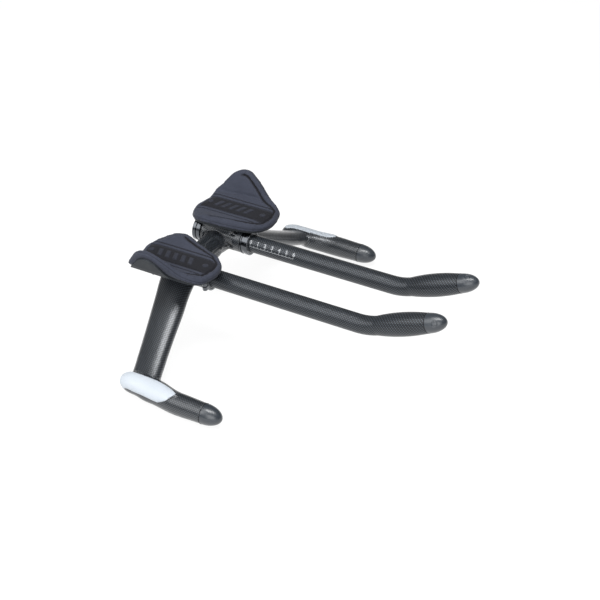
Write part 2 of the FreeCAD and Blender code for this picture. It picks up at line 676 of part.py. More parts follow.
def pad_fastening():
    """Hook and loop sheet between the cup and the pad."""
    width = FOLD_OUTER_Y - FOLD_INNER_Y - 2 * FASTENING_MARGIN
    return rounded_plate(PAD_FRONT_CORNER[0] / 2, (FOLD_INNER_Y + FOLD_OUTER_Y) / 2, FASTENING_LENGTH, width,
                         FASTENING_CORNER, CUP_TOP_Z, PAD_Z)


def arm_pad():
    """Foam pad with sewn grooves along its middle band."""
    low = CUP_THICK + PAD_FASTENING
    pad = bent_sheet(low, low + PAD_THICK, 0)
    groove_z = PAD_Z + PAD_THICK + GROOVE_RADIUS - GROOVE_DEPTH
    grooves = []
    for y in (FOLD_INNER_Y, FOLD_INNER_Y + BAND_INSET, FOLD_OUTER_Y - BAND_INSET, FOLD_OUTER_Y):
        grooves.append(rod_x(-LONG / 2, LONG / 2, GROOVE_RADIUS, y, groove_z))
    return pad.cut(grooves)


def make_parts():
    """Every node of the handlebar by name."""
    parts = {"base_bar": base_bar()}
    paired = {"extension": extension(), "front_collar": collar("front"), "rear_collar": collar("rear"),
              "cup_spacer": cup_spacer(), "arm_cup": arm_cup(), "pad_fastening": pad_fastening(),
              "arm_pad": arm_pad(), "palm_pad": palm_pad(), "horn_plug": horn_plug()}
    grouped = {"collar_bolts": [collar_bolt("front"), collar_bolt("rear")],
               "cup_bolts": [cup_bolt(x) for x in cup_bolt_places()],
               "seat_inserts": [insert(x) for x in cup_bolt_places()],
               "socket_grub_screws": [grub_screw()]}
    for side in ("left", "right"):
        for name, shape in paired.items():
            parts[side + "_" + name] = side_shape(shape, side)
        parts[side + "_extension_plug"] = side_shape(extension_plug(side), side)
    for name, shapes in grouped.items():
        both = [side_shape(shape, side) for side in ("left", "right") for shape in shapes]
        parts[name] = Part.makeCompound(both)
    return parts


os.makedirs("parts", exist_ok=True)
for node, shape in make_parts().items():
    shape.exportStep("parts/" + node + ".step")
    print(node, len(shape.Solids), shape.isValid(), round(shape.Volume, 1))
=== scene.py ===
"""Looks of the time trial handlebar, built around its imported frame. Lengths are in metres."""
import math

import bpy
import numpy as np
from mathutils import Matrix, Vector
from mathutils.kdtree import KDTree


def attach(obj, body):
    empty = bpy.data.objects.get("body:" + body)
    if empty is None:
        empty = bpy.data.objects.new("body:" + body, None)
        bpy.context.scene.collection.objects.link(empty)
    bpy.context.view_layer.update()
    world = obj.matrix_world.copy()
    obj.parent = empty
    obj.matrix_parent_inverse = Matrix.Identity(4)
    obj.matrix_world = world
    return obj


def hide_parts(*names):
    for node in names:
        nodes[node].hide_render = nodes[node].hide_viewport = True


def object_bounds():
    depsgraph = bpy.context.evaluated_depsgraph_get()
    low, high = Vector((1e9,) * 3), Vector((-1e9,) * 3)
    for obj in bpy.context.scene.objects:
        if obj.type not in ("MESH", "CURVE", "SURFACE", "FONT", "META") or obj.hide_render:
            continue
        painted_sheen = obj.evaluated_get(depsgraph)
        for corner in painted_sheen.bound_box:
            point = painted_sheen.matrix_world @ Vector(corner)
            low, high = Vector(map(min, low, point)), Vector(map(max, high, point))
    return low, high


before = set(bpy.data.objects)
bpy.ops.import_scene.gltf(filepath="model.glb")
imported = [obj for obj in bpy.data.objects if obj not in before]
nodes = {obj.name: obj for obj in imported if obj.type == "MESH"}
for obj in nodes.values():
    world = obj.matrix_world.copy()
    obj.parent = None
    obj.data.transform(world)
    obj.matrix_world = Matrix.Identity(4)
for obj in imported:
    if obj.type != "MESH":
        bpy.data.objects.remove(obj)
cad_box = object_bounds()

# Sizes of the bar that the looks follow
TUBE_Y = 0.0445
TUBE_Z = 0.005
TUBE_R = 0.0111
BORE_R = 0.01115
BEND_X = 0.2475
BEND_TURN = math.radians(21.7)
BEND_SLOPE = math.tan(BEND_TURN)
SLEEVE_ENDS = (-0.0336, 0.0456)
SOCKET_ENDS = (-0.022, 0.034)
SOCKET_R = 0.015
SOCKET_OUTSIDE = 0.0605
CLAMP_R = 0.0159
CLAMP_END = 0.0295
SLIT_WIDTH = 0.0016
HORN_Y = 0.1905
HORN_Z = -0.066
HORN_SEAM_X = 0.1215
HORN_SEAM_R = 0.0121
GRUB_PLACE = (0.0175, 0.0015)
GRUB_R = 0.0021
CUP_Z = 0.0219
FOLD_INNER_Y = 0.0465
FOLD_OUTER_Y = 0.084
INNER_WING_R = 0.050
OUTER_WING_R = 0.0272
OUTER_WING_ANGLE = math.radians(68.0)
SIDES = {"left": 1, "right": -1}
MERGE_DISTANCE = 0.000002


# Hand tools

def only(obj):
    """Selects one object and makes it the active one."""
    bpy.ops.object.select_all(action="DESELECT")
    obj.select_set(True)
    bpy.context.view_layer.objects.active = obj
    return obj


def finish_place(obj):
    """Moves an object's place into its mesh, so that it sits at the origin."""
    only(obj)
    bpy.ops.object.transform_apply(location=True, rotation=True, scale=True)
    return obj


def rod(name, start_x, end_x, radius, y, z, sides=64):
    """Round bar along X, made from a cylinder laid on its side."""
    bpy.ops.object.select_all(action="DESELECT")
    bpy.ops.mesh.primitive_cylinder_add(vertices=sides, radius=radius, depth=end_x - start_x,
                                        location=((start_x + end_x) / 2, y, z), rotation=(0, math.pi / 2, 0))
    bar = bpy.context.object
    bar.name = name
    return finish_place(bar)


def brick(name, low, high):
    """Block between two corners."""
    bpy.ops.object.select_all(action="DESELECT")
    bpy.ops.mesh.primitive_cube_add(size=1, location=[(a + b) / 2 for a, b in zip(low, high)])
    bpy.context.object.scale = [b - a for a, b in zip(low, high)]
    bpy.context.object.name = name
    return finish_place(bpy.context.object)


def join(name, parts):
    """Joins several objects into the first one."""
    only(parts[0])
    for part in parts:
        part.select_set(True)
    bpy.ops.object.join()
    parts[0].name = name
    parts[0].data.name = name
    return parts[0]


def merged_copy(name, node):
    """Own copy of a node's mesh with its loose triangles merged."""
    copy = bpy.data.objects.new(name, nodes[node].data.copy())
    copy.data.materials.clear()
    bpy.context.scene.collection.objects.link(copy)
    only(copy)
    bpy.ops.object.mode_set(mode="EDIT")
    bpy.ops.mesh.select_all(action="SELECT")
    bpy.ops.mesh.remove_doubles(threshold=MERGE_DISTANCE)
    bpy.ops.object.mode_set(mode="OBJECT")
    return copy


def remesh(obj, voxel):
    """Even quads all over a closed shape."""
    only(obj)
    obj.data.remesh_voxel_size = voxel
    obj.data.use_remesh_preserve_volume = True
    bpy.ops.object.voxel_remesh()
    return obj


def keep_largest_shell(obj):
    """Leaves only the shell with the most points, which is the outside."""
    only(obj)
    bpy.ops.object.mode_set(mode="EDIT")
    bpy.ops.mesh.select_all(action="SELECT")
    bpy.ops.mesh.separate(type="LOOSE")
    bpy.ops.object.mode_set(mode="OBJECT")
    shells = sorted(bpy.context.selected_objects, key=lambda shell: len(shell.data.vertices))
    for shell in shells[:-1]:
        bpy.data.objects.remove(shell)
    return shells[-1]


def apply_modifier(obj, name, kind, **settings):
    """Adds one modifier with its settings and applies it."""
    modifier = obj.modifiers.new(name, kind)
    for key, value in settings.items():
        setattr(modifier, key, value)
    only(obj)
    bpy.ops.object.modifier_apply(modifier=modifier.name)
    return obj


def smooth(obj, rounds, points=None):
    """Evens out the surface, all over or only at the chosen points."""
    group = ""
    if points is not None:
        group = obj.vertex_groups.new(name="smoothed").name
        obj.vertex_groups[group].add(points, 1.0, "REPLACE")
    apply_modifier(obj, "Smoothing", "SMOOTH", factor=0.5, iterations=rounds, vertex_group=group)
    return obj


def fatten(obj, distance):
    """Grows a shape along its normals."""
    only(obj)
    bpy.ops.object.mode_set(mode="EDIT")
    bpy.ops.mesh.select_all(action="SELECT")
    bpy.ops.transform.shrink_fatten(value=distance)
    bpy.ops.object.mode_set(mode="OBJECT")
    return obj


def cut_away(obj, cutter):
    """Cuts one shape out of another and removes the cutter."""
    apply_modifier(obj, "Cut", "BOOLEAN", operation="DIFFERENCE", object=cutter, solver="EXACT")
    bpy.data.objects.remove(cutter)
    return obj


def shade(obj, degrees):
    """Smooth shading with edges kept where faces meet at more than the angle."""
    only(obj)
    bpy.ops.object.shade_smooth_by_angle(angle=math.radians(degrees))
    return obj


def points_of(obj):
    """The mesh's points and normals as arrays."""
    count = len(obj.data.vertices)
    place = np.zeros(count * 3)
    normal = np.zeros(count * 3)
    obj.data.vertices.foreach_get("co", place)
    obj.data.vertices.foreach_get("normal", normal)
    return place.reshape(-1, 3), normal.reshape(-1, 3)


def set_points(obj, place):
    """Writes the points back into the mesh."""
    obj.data.vertices.foreach_set("co", place.ravel())
    obj.data.update()


# Finishes

class Value:
    """A socket that can stand in sums: each sum adds a Math node."""

    def __init__(self, finish, socket):
        self.finish = finish
        self.socket = socket

    def out(self, name):
        return Value(self.finish, self.socket.node.outputs[name])

    def __add__(self, other):
        return self.finish.math("ADD", self, other)

    def __radd__(self, other):
        return self.finish.math("ADD", other, self)

    def __sub__(self, other):
        return self.finish.math("SUBTRACT", self, other)

    def __rsub__(self, other):
        return self.finish.math("SUBTRACT", other, self)

    def __mul__(self, other):
        return self.finish.math("MULTIPLY", self, other)

    def __rmul__(self, other):
        return self.finish.math("MULTIPLY", other, self)

    def __truediv__(self, other):
        return self.finish.math("DIVIDE", self, other)

    def __mod__(self, other):
        return self.finish.math("FLOORED_MODULO", self, other)

    def __lt__(self, other):
        return self.finish.math("LESS_THAN", self, other)


class Finish:
    """One material: a Principled shader and the nodes that vary it over the surface."""

    def __init__(self, name, constants):
        self.material = bpy.data.materials.new(name)
        self.material.use_nodes = True
        self.tree = self.material.node_tree
        self.shader = self.tree.nodes["Principled BSDF"]
        for socket, value in constants.items():
            self.shader.inputs[socket].default_value = value

    def node(self, kind, settings=None, inputs=None, output=0):
        made = self.tree.nodes.new(kind)
        for key, value in (settings or {}).items():
            setattr(made, key, value)
        for key, value in (inputs or {}).items():
            if isinstance(value, Value):
                self.tree.links.new(value.socket, made.inputs[key])
            else:
                made.inputs[key].default_value = value
        return Value(self, made.outputs[output])

    def math(self, operation, *values):
        return self.node("ShaderNodeMath", {"operation": operation}, dict(enumerate(values)))

    def mix(self, factor, first, second):
        return self.node("ShaderNodeMix", {"data_type": "RGBA"}, {0: factor, 6: first, 7: second}, 2)

    def place(self):
        return self.node("ShaderNodeTexCoord", output="Object")

    def split(self, vector):
        return self.node("ShaderNodeSeparateXYZ", inputs={0: vector})

    def vector(self, x, y, z=0.0):
        return self.node("ShaderNodeCombineXYZ", inputs={0: x, 1: y, 2: z})

    def noise(self, vector, scale, detail=2.0):
        return self.node("ShaderNodeTexNoise", inputs={"Vector": vector, "Scale": scale, "Detail": detail})

    def bump(self, height, distance, strength=1.0):
        inputs = {"Height": height, "Distance": distance, "Strength": strength}
        self.feed("Normal", self.node("ShaderNodeBump", inputs=inputs))

    def feed(self, socket, value):
        self.tree.links.new(value.socket, self.shader.inputs[socket])


TOW = 0.0016
# The light colour is painted sheen of the tows; the dark one is the fibre without it.
CARBON_DARK = (0.003, 0.0037, 0.0046, 1)
CARBON_LIGHT = (0.094, 0.112, 0.138, 1)


def carbon(name, surface, gloss):
    """Plain weave of carbon tows under a clear lacquer; surface gives its two directions. Its light and dark
    checks and bright tow crowns are painted sheen.
    """
    weave = Finish(name, {"Specular IOR Level": 0.5, "Metallic": 0.35, "Coat Weight": gloss,
                          "Coat Roughness": 0.3, "Coat IOR": 1.5})
    u, v = surface(weave)
    u = u / TOW
    v = v / TOW
    over = ((weave.math("FLOOR", u) + weave.math("FLOOR", v)) % 2.0) < 0.5
    off_u = weave.math("FRACT", u) - 0.5
    off_v = weave.math("FRACT", v) - 0.5
    crown = 1 - 4 * (over * off_v * off_v + (1 - over) * off_u * off_u)
    float_end = 1 - 4 * (over * off_u * off_u + (1 - over) * off_v * off_v)
    strands_u = weave.noise(weave.vector(u * 0.25, v * 9.0), 1.0)
    strands_v = weave.noise(weave.vector(u * 9.0, v * 0.25), 1.0)
    strands = over * strands_u + (1 - over) * strands_v
    wide = weave.noise(weave.vector(u, v), 0.07)
    # Painted sheen: tows on top, and their crowns and the middles of their floats, are lighter in colour.
    painted_sheen = (0.05 + 0.95 * over) * crown * (0.25 + 0.75 * float_end)
    tone = painted_sheen + 0.2 * (strands - 0.5) + 0.14 * (wide - 0.5)
    tone = weave.math("MINIMUM", weave.math("MAXIMUM", tone, 0.0), 1.0)
    weave.feed("Base Color", weave.mix(tone, CARBON_DARK, CARBON_LIGHT))
    weave.feed("Roughness", 0.5 - 0.16 * over + 0.15 * (strands - 0.5))
    weave.bump(crown + 0.4 * strands, 0.00006, 0.5)
    return weave.material


def bar_surface(weave):
    """Directions along and round the bar, from the piece's own map."""
    laid = weave.split(weave.node("ShaderNodeUVMap", {"uv_map": "weave"}))
    return laid, laid.out("Y")


def tube_surface(weave):
    """Directions along and round the extension, whose axis rises past the bend."""
    x = weave.split(weave.place())
    rise = TUBE_Z + BEND_SLOPE * weave.math("MAXIMUM", x - BEND_X, 0.0)
    turn = weave.math("ARCTAN2", weave.math("ABSOLUTE", x.out("Y")) - TUBE_Y, x.out("Z") - rise)
    return x, turn * TUBE_R


def pad_cloth():
    """Dark knitted fabric over foam, with painted shade in the sewn grooves and along the rim seam, and a
    darker band.
    """
    cloth = Finish("pad_cloth", {"Specular IOR Level": 0.3, "Sheen Weight": 0.08, "Sheen Roughness": 0.5})
    spot = cloth.split(cloth.place())
    across = spot.out("Y") + 0.7 * spot.out("Z")
    ribs = cloth.math("SINE", spot * 5200.0) * cloth.math("SINE", across * 5200.0)
    fuzz = cloth.noise(cloth.place(), 900.0, 4.0)
    worn = cloth.noise(cloth.place(), 28.0, 3.0)
    shade_and_band = cloth.node("ShaderNodeAttribute", {"attribute_name": "shade_and_band"}, output="Fac")
    cloth_tone = 0.5 + 0.18 * ribs + 0.5 * (fuzz - 0.5) + 0.5 * (worn - 0.5)
    plain = cloth.mix(cloth_tone, (0.023, 0.026, 0.040, 1), (0.058, 0.066, 0.096, 1))
    # Near-black mix: painted shade in the sewn grooves and along the rim seam, and the band's darkening.
    cloth.feed("Base Color", cloth.mix(shade_and_band, plain, (0.005, 0.005, 0.008, 1)))
    cloth.feed("Roughness", 0.78 + 0.2 * (fuzz - 0.5))
    cloth.bump(0.6 * ribs + fuzz, 0.00012, 0.6)
    return cloth.material


def palm_rubber():
    """Pale soft rubber with a fine pebble grain and slight soiling."""
    skin = Finish("palm_rubber", {"Specular IOR Level": 0.4})
    pebble = skin.node("ShaderNodeTexVoronoi", inputs={"Vector": skin.place(), "Scale": 1100.0})
    worn = skin.noise(skin.place(), 45.0, 4.0)
    fine = skin.noise(skin.place(), 700.0)
    soiled = 0.35 * pebble + 0.6 * worn
    skin.feed("Base Color", skin.mix(soiled, (0.66, 0.71, 0.77, 1), (0.51, 0.56, 0.62, 1)))
    skin.feed("Roughness", 0.42 + 0.25 * (worn - 0.5) + 0.1 * (fine - 0.5))
    skin.bump(pebble + 0.4 * fine, 0.00008, 0.35)
    return skin.material


def moulded(name, low, high, rough, grain, coat=0.0):
    """Moulded plastic or rubber with a fine grain and slight scuffs."""
    plastic = Finish(name, {"Specular IOR Level": 0.2 + 0.8 * coat, "Coat Weight": coat,
                            "Coat Roughness": 0.28})
    fine = plastic.noise(plastic.place(), grain, 3.0)
    scuffs = plastic.noise(plastic.place(), 60.0, 5.0)
    plastic.feed("Base Color", plastic.mix(0.5 * fine + 0.5 * scuffs, low, high))
    plastic.feed("Roughness", rough + 0.3 * (scuffs - 0.5) + 0.1 * (fine - 0.5))
    plastic.bump(fine, 0.00004, 0.4)
    return plastic.material


def metal(name, low, high, rough, coat=0.0):
    """Turned or plated metal with fine tool marks and rubbed patches."""
    turned = Finish(name, {"Metallic": 1.0, "Coat Weight": coat, "Coat Roughness": 0.05})
    spot = turned.split(turned.place())
    marks = turned.noise(turned.vector(spot * 5000.0, spot.out("Y") * 300.0, spot.out("Z") * 300.0), 1.0)
    rubbed = turned.noise(turned.place(), 90.0, 3.0)
    turned.feed("Base Color", turned.mix(0.4 * marks + 0.6 * rubbed, low, high))
    turned.feed("Roughness", rough + 0.25 * (rubbed - 0.5) + 0.1 * (marks - 0.5))
    turned.bump(marks, 0.00001, 0.3)
    return turned.material


def scale_ink():
    """Pale printed ink, a little uneven."""
    ink = Finish("scale_ink", {"Roughness": 0.4, "Coat Weight": 0.6, "Coat Roughness": 0.1})
    patchy = ink.noise(ink.place(), 1500.0)
    ink.feed("Base Color", ink.mix(patchy, (0.27, 0.28, 0.30, 1), (0.48, 0.50, 0.52, 1)))
    return ink.material


# Base bar

ARM_HALF_CHORD = 0.0205
ARM_HALF_DEPTH = 0.0105
OVAL_STEPS = 120
ARM_ROOT_X = 0.0059
ARM_ROOT_Y = 0.066
ARM_ROOT_Z = -0.0025
ARM_SPAN = 0.1205
ARM_SWEEP = 0.23
ARM_DROP = 0.0607
ARM_CURVE = 0.15
ARM_STRETCH = 1.13
HORN_WEAVE_R = 0.0128
HORN_ZONE_START = 0.150
HORN_ZONE = (0.188, -0.0645)
HORN_ZONE_R = 0.0165


def oval_lengths():
    """Length round the arm's oval section from its front edge, at even steps of angle."""
    lengths = [0.0]
    for i in range(OVAL_STEPS):
        turn = 2 * math.pi * (i + 0.5) / OVAL_STEPS
        step = math.hypot(ARM_HALF_CHORD * math.sin(turn), ARM_HALF_DEPTH * math.cos(turn))
        lengths.append(lengths[-1] + step * 2 * math.pi / OVAL_STEPS)
    return lengths


def arm_axis(y):
    """X and Z of the middle of the arm at one distance from the bar's middle."""
    run = max(y - ARM_ROOT_Y, 0.0)
    share = run / ARM_SPAN
    drop = ARM_DROP * ((1 + ARM_CURVE) * share - ARM_CURVE * share ** 3)
    return ARM_ROOT_X + ARM_SWEEP * run, ARM_ROOT_Z - drop


def weave_map(bar):
    """Lays the weave along and round the clamp zone, the sockets, the arms and the horns."""
    lengths = oval_lengths()
    layer = bar.data.uv_layers.new(name="weave")
    mesh = bar.data

    def round_angle(kind, spot):
        y = abs(spot.y)
        if kind == "horn":
            return math.atan2(y - HORN_Y, spot.z - HORN_Z)
        if kind == "socket":
            return math.atan2(y - TUBE_Y, spot.z - TUBE_Z)
        if kind == "clamp":
            return math.atan2(spot.z, spot.x)
        middle_x, middle_z = arm_axis(y)
        return math.atan2((spot.z - middle_z) / ARM_HALF_DEPTH, (spot.x - middle_x) / ARM_HALF_CHORD)

    def laid(kind, spot, turn):
        if kind == "horn":
            return spot.x, turn * HORN_WEAVE_R
        if kind == "socket":
            return spot.x, turn * SOCKET_R
        if kind == "clamp":
            return spot.y, turn * CLAMP_R
        turns, rest = divmod(turn, 2 * math.pi)
        at = rest / (2 * math.pi) * OVAL_STEPS
        low = min(int(at), OVAL_STEPS - 1)
        length = lengths[low] + (lengths[low + 1] - lengths[low]) * (at - low)
        return abs(spot.y) * ARM_STRETCH, turns * lengths[-1] + length

    for face in mesh.polygons:
        middle = face.center
        y = abs(middle.y)
        kind = "arm"
        if y > HORN_ZONE_START and math.hypot(y - HORN_ZONE[0], middle.z - HORN_ZONE[1]) < HORN_ZONE_R:
            kind = "horn"
        elif y < CLAMP_END:
            kind = "clamp"
        elif y < SOCKET_OUTSIDE:
            kind = "socket"
        heading = round_angle(kind, middle)
        for loop in face.loop_indices:
            spot = mesh.vertices[mesh.loops[loop].vertex_index].co
            turn = round_angle(kind, spot)
            turn += 2 * math.pi * round((heading - turn) / (2 * math.pi))
            layer.data[loop].uv = laid(kind, spot, turn)


SKIN_VOXEL = 0.0011
SKIN_ROUNDS = 5
ROOT_ROUNDS = 24
FILLER_LAP = 0.0003
HORN_FILLER_LENGTH = 0.02
HORN_FILLER_R = 0.0085
SCREW_FILLER_R = 0.0026
SCREW_FILLER_Y = 0.0312
SLIT_FILLER_DEPTHS = (0.0129, 0.0100)
ROOT_INSIDE = 0.160
ROOT_OUTSIDE = 0.1835
ROOT_FRONT = 0.075
BORE_CUT_ENDS = (-0.06, 0.07)
GRUB_CUT_Y = 0.0292
GRUB_CUT_DEPTH = 0.012
SLIT_CUT_ENDS = (-0.05, 0.06)
SLIT_CUT_DEPTHS = (0.02, 0.005)
SLIT_SETBACK = 0.002


def bar_skin():
    """Smooth outside of the one-piece bar, with its bores, slits and screw holes cut in again."""
    parts = [merged_copy("bar_skin", "base_bar")]
    for side, sign in SIDES.items():
        parts.append(merged_copy("palm_filler", side + "_palm_pad"))
        parts.append(rod("bore_filler", *SLEEVE_ENDS, BORE_R + FILLER_LAP, sign * TUBE_Y, TUBE_Z))
        parts.append(rod("horn_filler", HORN_SEAM_X - HORN_FILLER_LENGTH, HORN_SEAM_X, HORN_FILLER_R,
                         sign * HORN_Y, HORN_Z))
        parts.append(rod("screw_filler", GRUB_PLACE[0] - GRUB_R, GRUB_PLACE[0] + GRUB_R, SCREW_FILLER_R,
                         sign * SCREW_FILLER_Y, GRUB_PLACE[1]))
        for low, high in ((SLEEVE_ENDS[0], SOCKET_ENDS[0]), (SOCKET_ENDS[1], SLEEVE_ENDS[1])):
            parts.append(brick("slit_filler",
                               (low, sign * TUBE_Y - SLIT_WIDTH, TUBE_Z - SLIT_FILLER_DEPTHS[0]),
                               (high, sign * TUBE_Y + SLIT_WIDTH, TUBE_Z - SLIT_FILLER_DEPTHS[1])))
    skin = keep_largest_shell(remesh(join("bar_skin", parts), SKIN_VOXEL))
    skin.name = "bar_skin"
    smooth(skin, SKIN_ROUNDS)
    place, _ = points_of(skin)
    reach = np.abs(place[:, 1])
    root = (reach > ROOT_INSIDE) & (reach < ROOT_OUTSIDE) & (place[:, 0] < ROOT_FRONT)
    smooth(skin, ROOT_ROUNDS, [int(i) for i in np.nonzero(root)[0]])
    for sign in SIDES.values():
        cut_away(skin, rod("bore", *BORE_CUT_ENDS, BORE_R, sign * TUBE_Y, TUBE_Z, 96))
        bpy.ops.object.select_all(action="DESELECT")
        bpy.ops.mesh.primitive_cylinder_add(vertices=32, radius=GRUB_R, depth=GRUB_CUT_DEPTH,
                                            location=(GRUB_PLACE[0], sign * GRUB_CUT_Y, GRUB_PLACE[1]),
                                            rotation=(math.pi / 2, 0, 0))
        cut_away(skin, finish_place(bpy.context.object))
        for low, high in ((SLIT_CUT_ENDS[0], SOCKET_ENDS[0] - SLIT_SETBACK),
                          (SOCKET_ENDS[1] + SLIT_SETBACK, SLIT_CUT_ENDS[1])):
            cut_away(skin, brick("slit", (low, sign * TUBE_Y - SLIT_WIDTH / 2, TUBE_Z - SLIT_CUT_DEPTHS[0]),
                                 (high, sign * TUBE_Y + SLIT_WIDTH / 2, TUBE_Z - SLIT_CUT_DEPTHS[1])))
    weave_map(skin)
    return shade(skin, 40)


# Arm pads

PAD_VOXEL = 0.0024
PAD_CAP = 0.0016
PAD_FRAMES = 20
PAD_PRESSURE = 4.0
PAD_STIFFNESS = 20.0
RESTING_CAP = 0.0002
RESTING_FACING = -0.3
MIDDLE_HEIGHT = 0.0072
GROOVE_DEPTH = 0.0014
GROOVE_HALF = 0.0019
BORDER_INSET = 0.0072
PAD_RESTORE = 0.0008
BAND_DEPTH = 0.0005
SEAM_HEIGHT = 0.0060
FRONT_BULGE = 0.0042
REAR_BULGE = 0.0042
FRONT_REACH = 0.0012
WING_RAISE = 0.0016
WING_FRONT = (0.104, 0.024)
WING_REAR = (0.110, 0.034)
WING_TOP = (0.108, 0.015)
FRONT_END = (0.035, 0.020)
FRONT_SIDE = (0.0, 0.020)
REAR_SIDE = (0.002, 0.014)
RIM_FACING = 0.25
TOP_FACING = (0.5, 0.3)
FOLD_GAP = 0.0055
FOLD_STOP = (0.004, 0.003)
SECOND_FOLD = 0.75
BORDER_DEPTH = 1.25
BORDER_WIDTH = 0.9
BORDER_REAR = (-0.008, 0.006)
BAND_EDGE = 0.001
BAND_DARK = 0.92
BAR_DARK = 0.5
SEAM_DARK = 0.7
SEAM_FACING = 0.6
BAND_MIDDLE = 0.06525
BAND_HALF = 0.0132
BAR_COUNT = 5
BAR_START = -0.014
BAR_STEP = 0.0105
BAR_LEAN = 0.35
BAR_HALF_WIDTH = 0.0034
BAR_HALF_LENGTH = 0.0072
BAR_HEIGHT = 0.0009
BUTTON_XS = (-0.027, 0.048)
BUTTON_R = 0.0042
SOFT_EDGE = 0.0014
SEAM_HALF = 0.0007


def ramp(values, start, length):
    """0 up to the start, 1 after the length, and even between them."""
    return np.clip((values - start) / length, 0, 1)


def hump(values, middle, half):
    """1 in the middle, falling to 0 at half the width away."""
    return np.clip(1 - ((values - middle) / half) ** 2, 0, None)


def trough_place(y, z):
    """Distance across the bent pad, height over the cup's underside, and the way up, at one point."""
    if y < FOLD_INNER_Y:
        off = Vector((y - FOLD_INNER_Y, z - CUP_Z - INNER_WING_R))
        turn = math.atan2(-off.x, -off.y)
        middle_r = INNER_WING_R - MIDDLE_HEIGHT
        return FOLD_INNER_Y - turn * middle_r, INNER_WING_R - off.length, (-off).normalized()
    if y > FOLD_OUTER_Y:
        off = Vector((y - FOLD_OUTER_Y, z - CUP_Z - OUTER_WING_R))
        turn = math.atan2(off.x, -off.y)
        middle_r = OUTER_WING_R - MIDDLE_HEIGHT
        if turn <= OUTER_WING_ANGLE:
            return FOLD_OUTER_Y + turn * middle_r, OUTER_WING_R - off.length, (-off).normalized()
        along = Vector((math.cos(OUTER_WING_ANGLE), math.sin(OUTER_WING_ANGLE)))
        up = Vector((-along.y, along.x))
        return FOLD_OUTER_Y + OUTER_WING_ANGLE * middle_r + off.dot(along), OUTER_WING_R + off.dot(up), up
    return y, z - CUP_Z, Vector((0.0, 1.0))


def plump(pad, sign):
    """Lets the foam swell under its cover, and holds it where it lies on the cup."""
    start, normal = points_of(pad)
    scene = bpy.context.scene
    scene.frame_start = 1
    scene.frame_end = PAD_FRAMES
    cloth = pad.modifiers.new("Swelling", "CLOTH")
    cloth.settings.use_pressure = True
    cloth.settings.uniform_pressure_force = PAD_PRESSURE
    cloth.settings.tension_stiffness = PAD_STIFFNESS
    cloth.settings.compression_stiffness = PAD_STIFFNESS
    cloth.settings.effector_weights.gravity = 0.0
    cloth.point_cache.frame_end = PAD_FRAMES
    for step in range(1, PAD_FRAMES + 1):
        scene.frame_set(step)
    swollen = pad.evaluated_get(bpy.context.evaluated_depsgraph_get()).to_mesh()
    moved = np.zeros(len(swollen.vertices) * 3)
    swollen.vertices.foreach_get("co", moved)
    pad.modifiers.remove(cloth)
    scene.frame_set(1)
    shift = moved.reshape(-1, 3) - start
    length = np.linalg.norm(shift, axis=1)
    cap = np.full(len(start), PAD_CAP)
    for i, (spot, out) in enumerate(zip(start, normal)):
        up = trough_place(sign * spot[1], spot[2])[2]
        if sign * out[1] * up.x + out[2] * up.y < RESTING_FACING:
            cap[i] = RESTING_CAP
    shift *= (np.minimum(length, cap) / np.maximum(length, 1e-9))[:, None]
    set_points(pad, start + shift)


def fill_out(pad, sign):
    """Rounds out the outer wing's two sides and its top, and the pad's front end."""
    place, _ = points_of(pad)
    spots = [trough_place(sign * spot[1], spot[2]) for spot in place]
    across = np.array([spot[0] for spot in spots])
    x = place[:, 0].copy()
    front_side = hump(across, *WING_FRONT) * ramp(x, *FRONT_SIDE)
    rear_side = hump(across, *WING_REAR) * ramp(-x, *REAR_SIDE)
    place[:, 0] += FRONT_BULGE * front_side - REAR_BULGE * rear_side + FRONT_REACH * ramp(x, *FRONT_END)
    raised = WING_RAISE * ramp(across, *WING_TOP)
    place[:, 1] += sign * raised * math.cos(OUTER_WING_ANGLE)
    place[:, 2] += raised * math.sin(OUTER_WING_ANGLE)
    set_points(pad, place)


def line_dip(distance):
    """Depth share of a sewn groove at a distance from its line."""
    return hump(distance, 0.0, GROOVE_HALF) ** 2


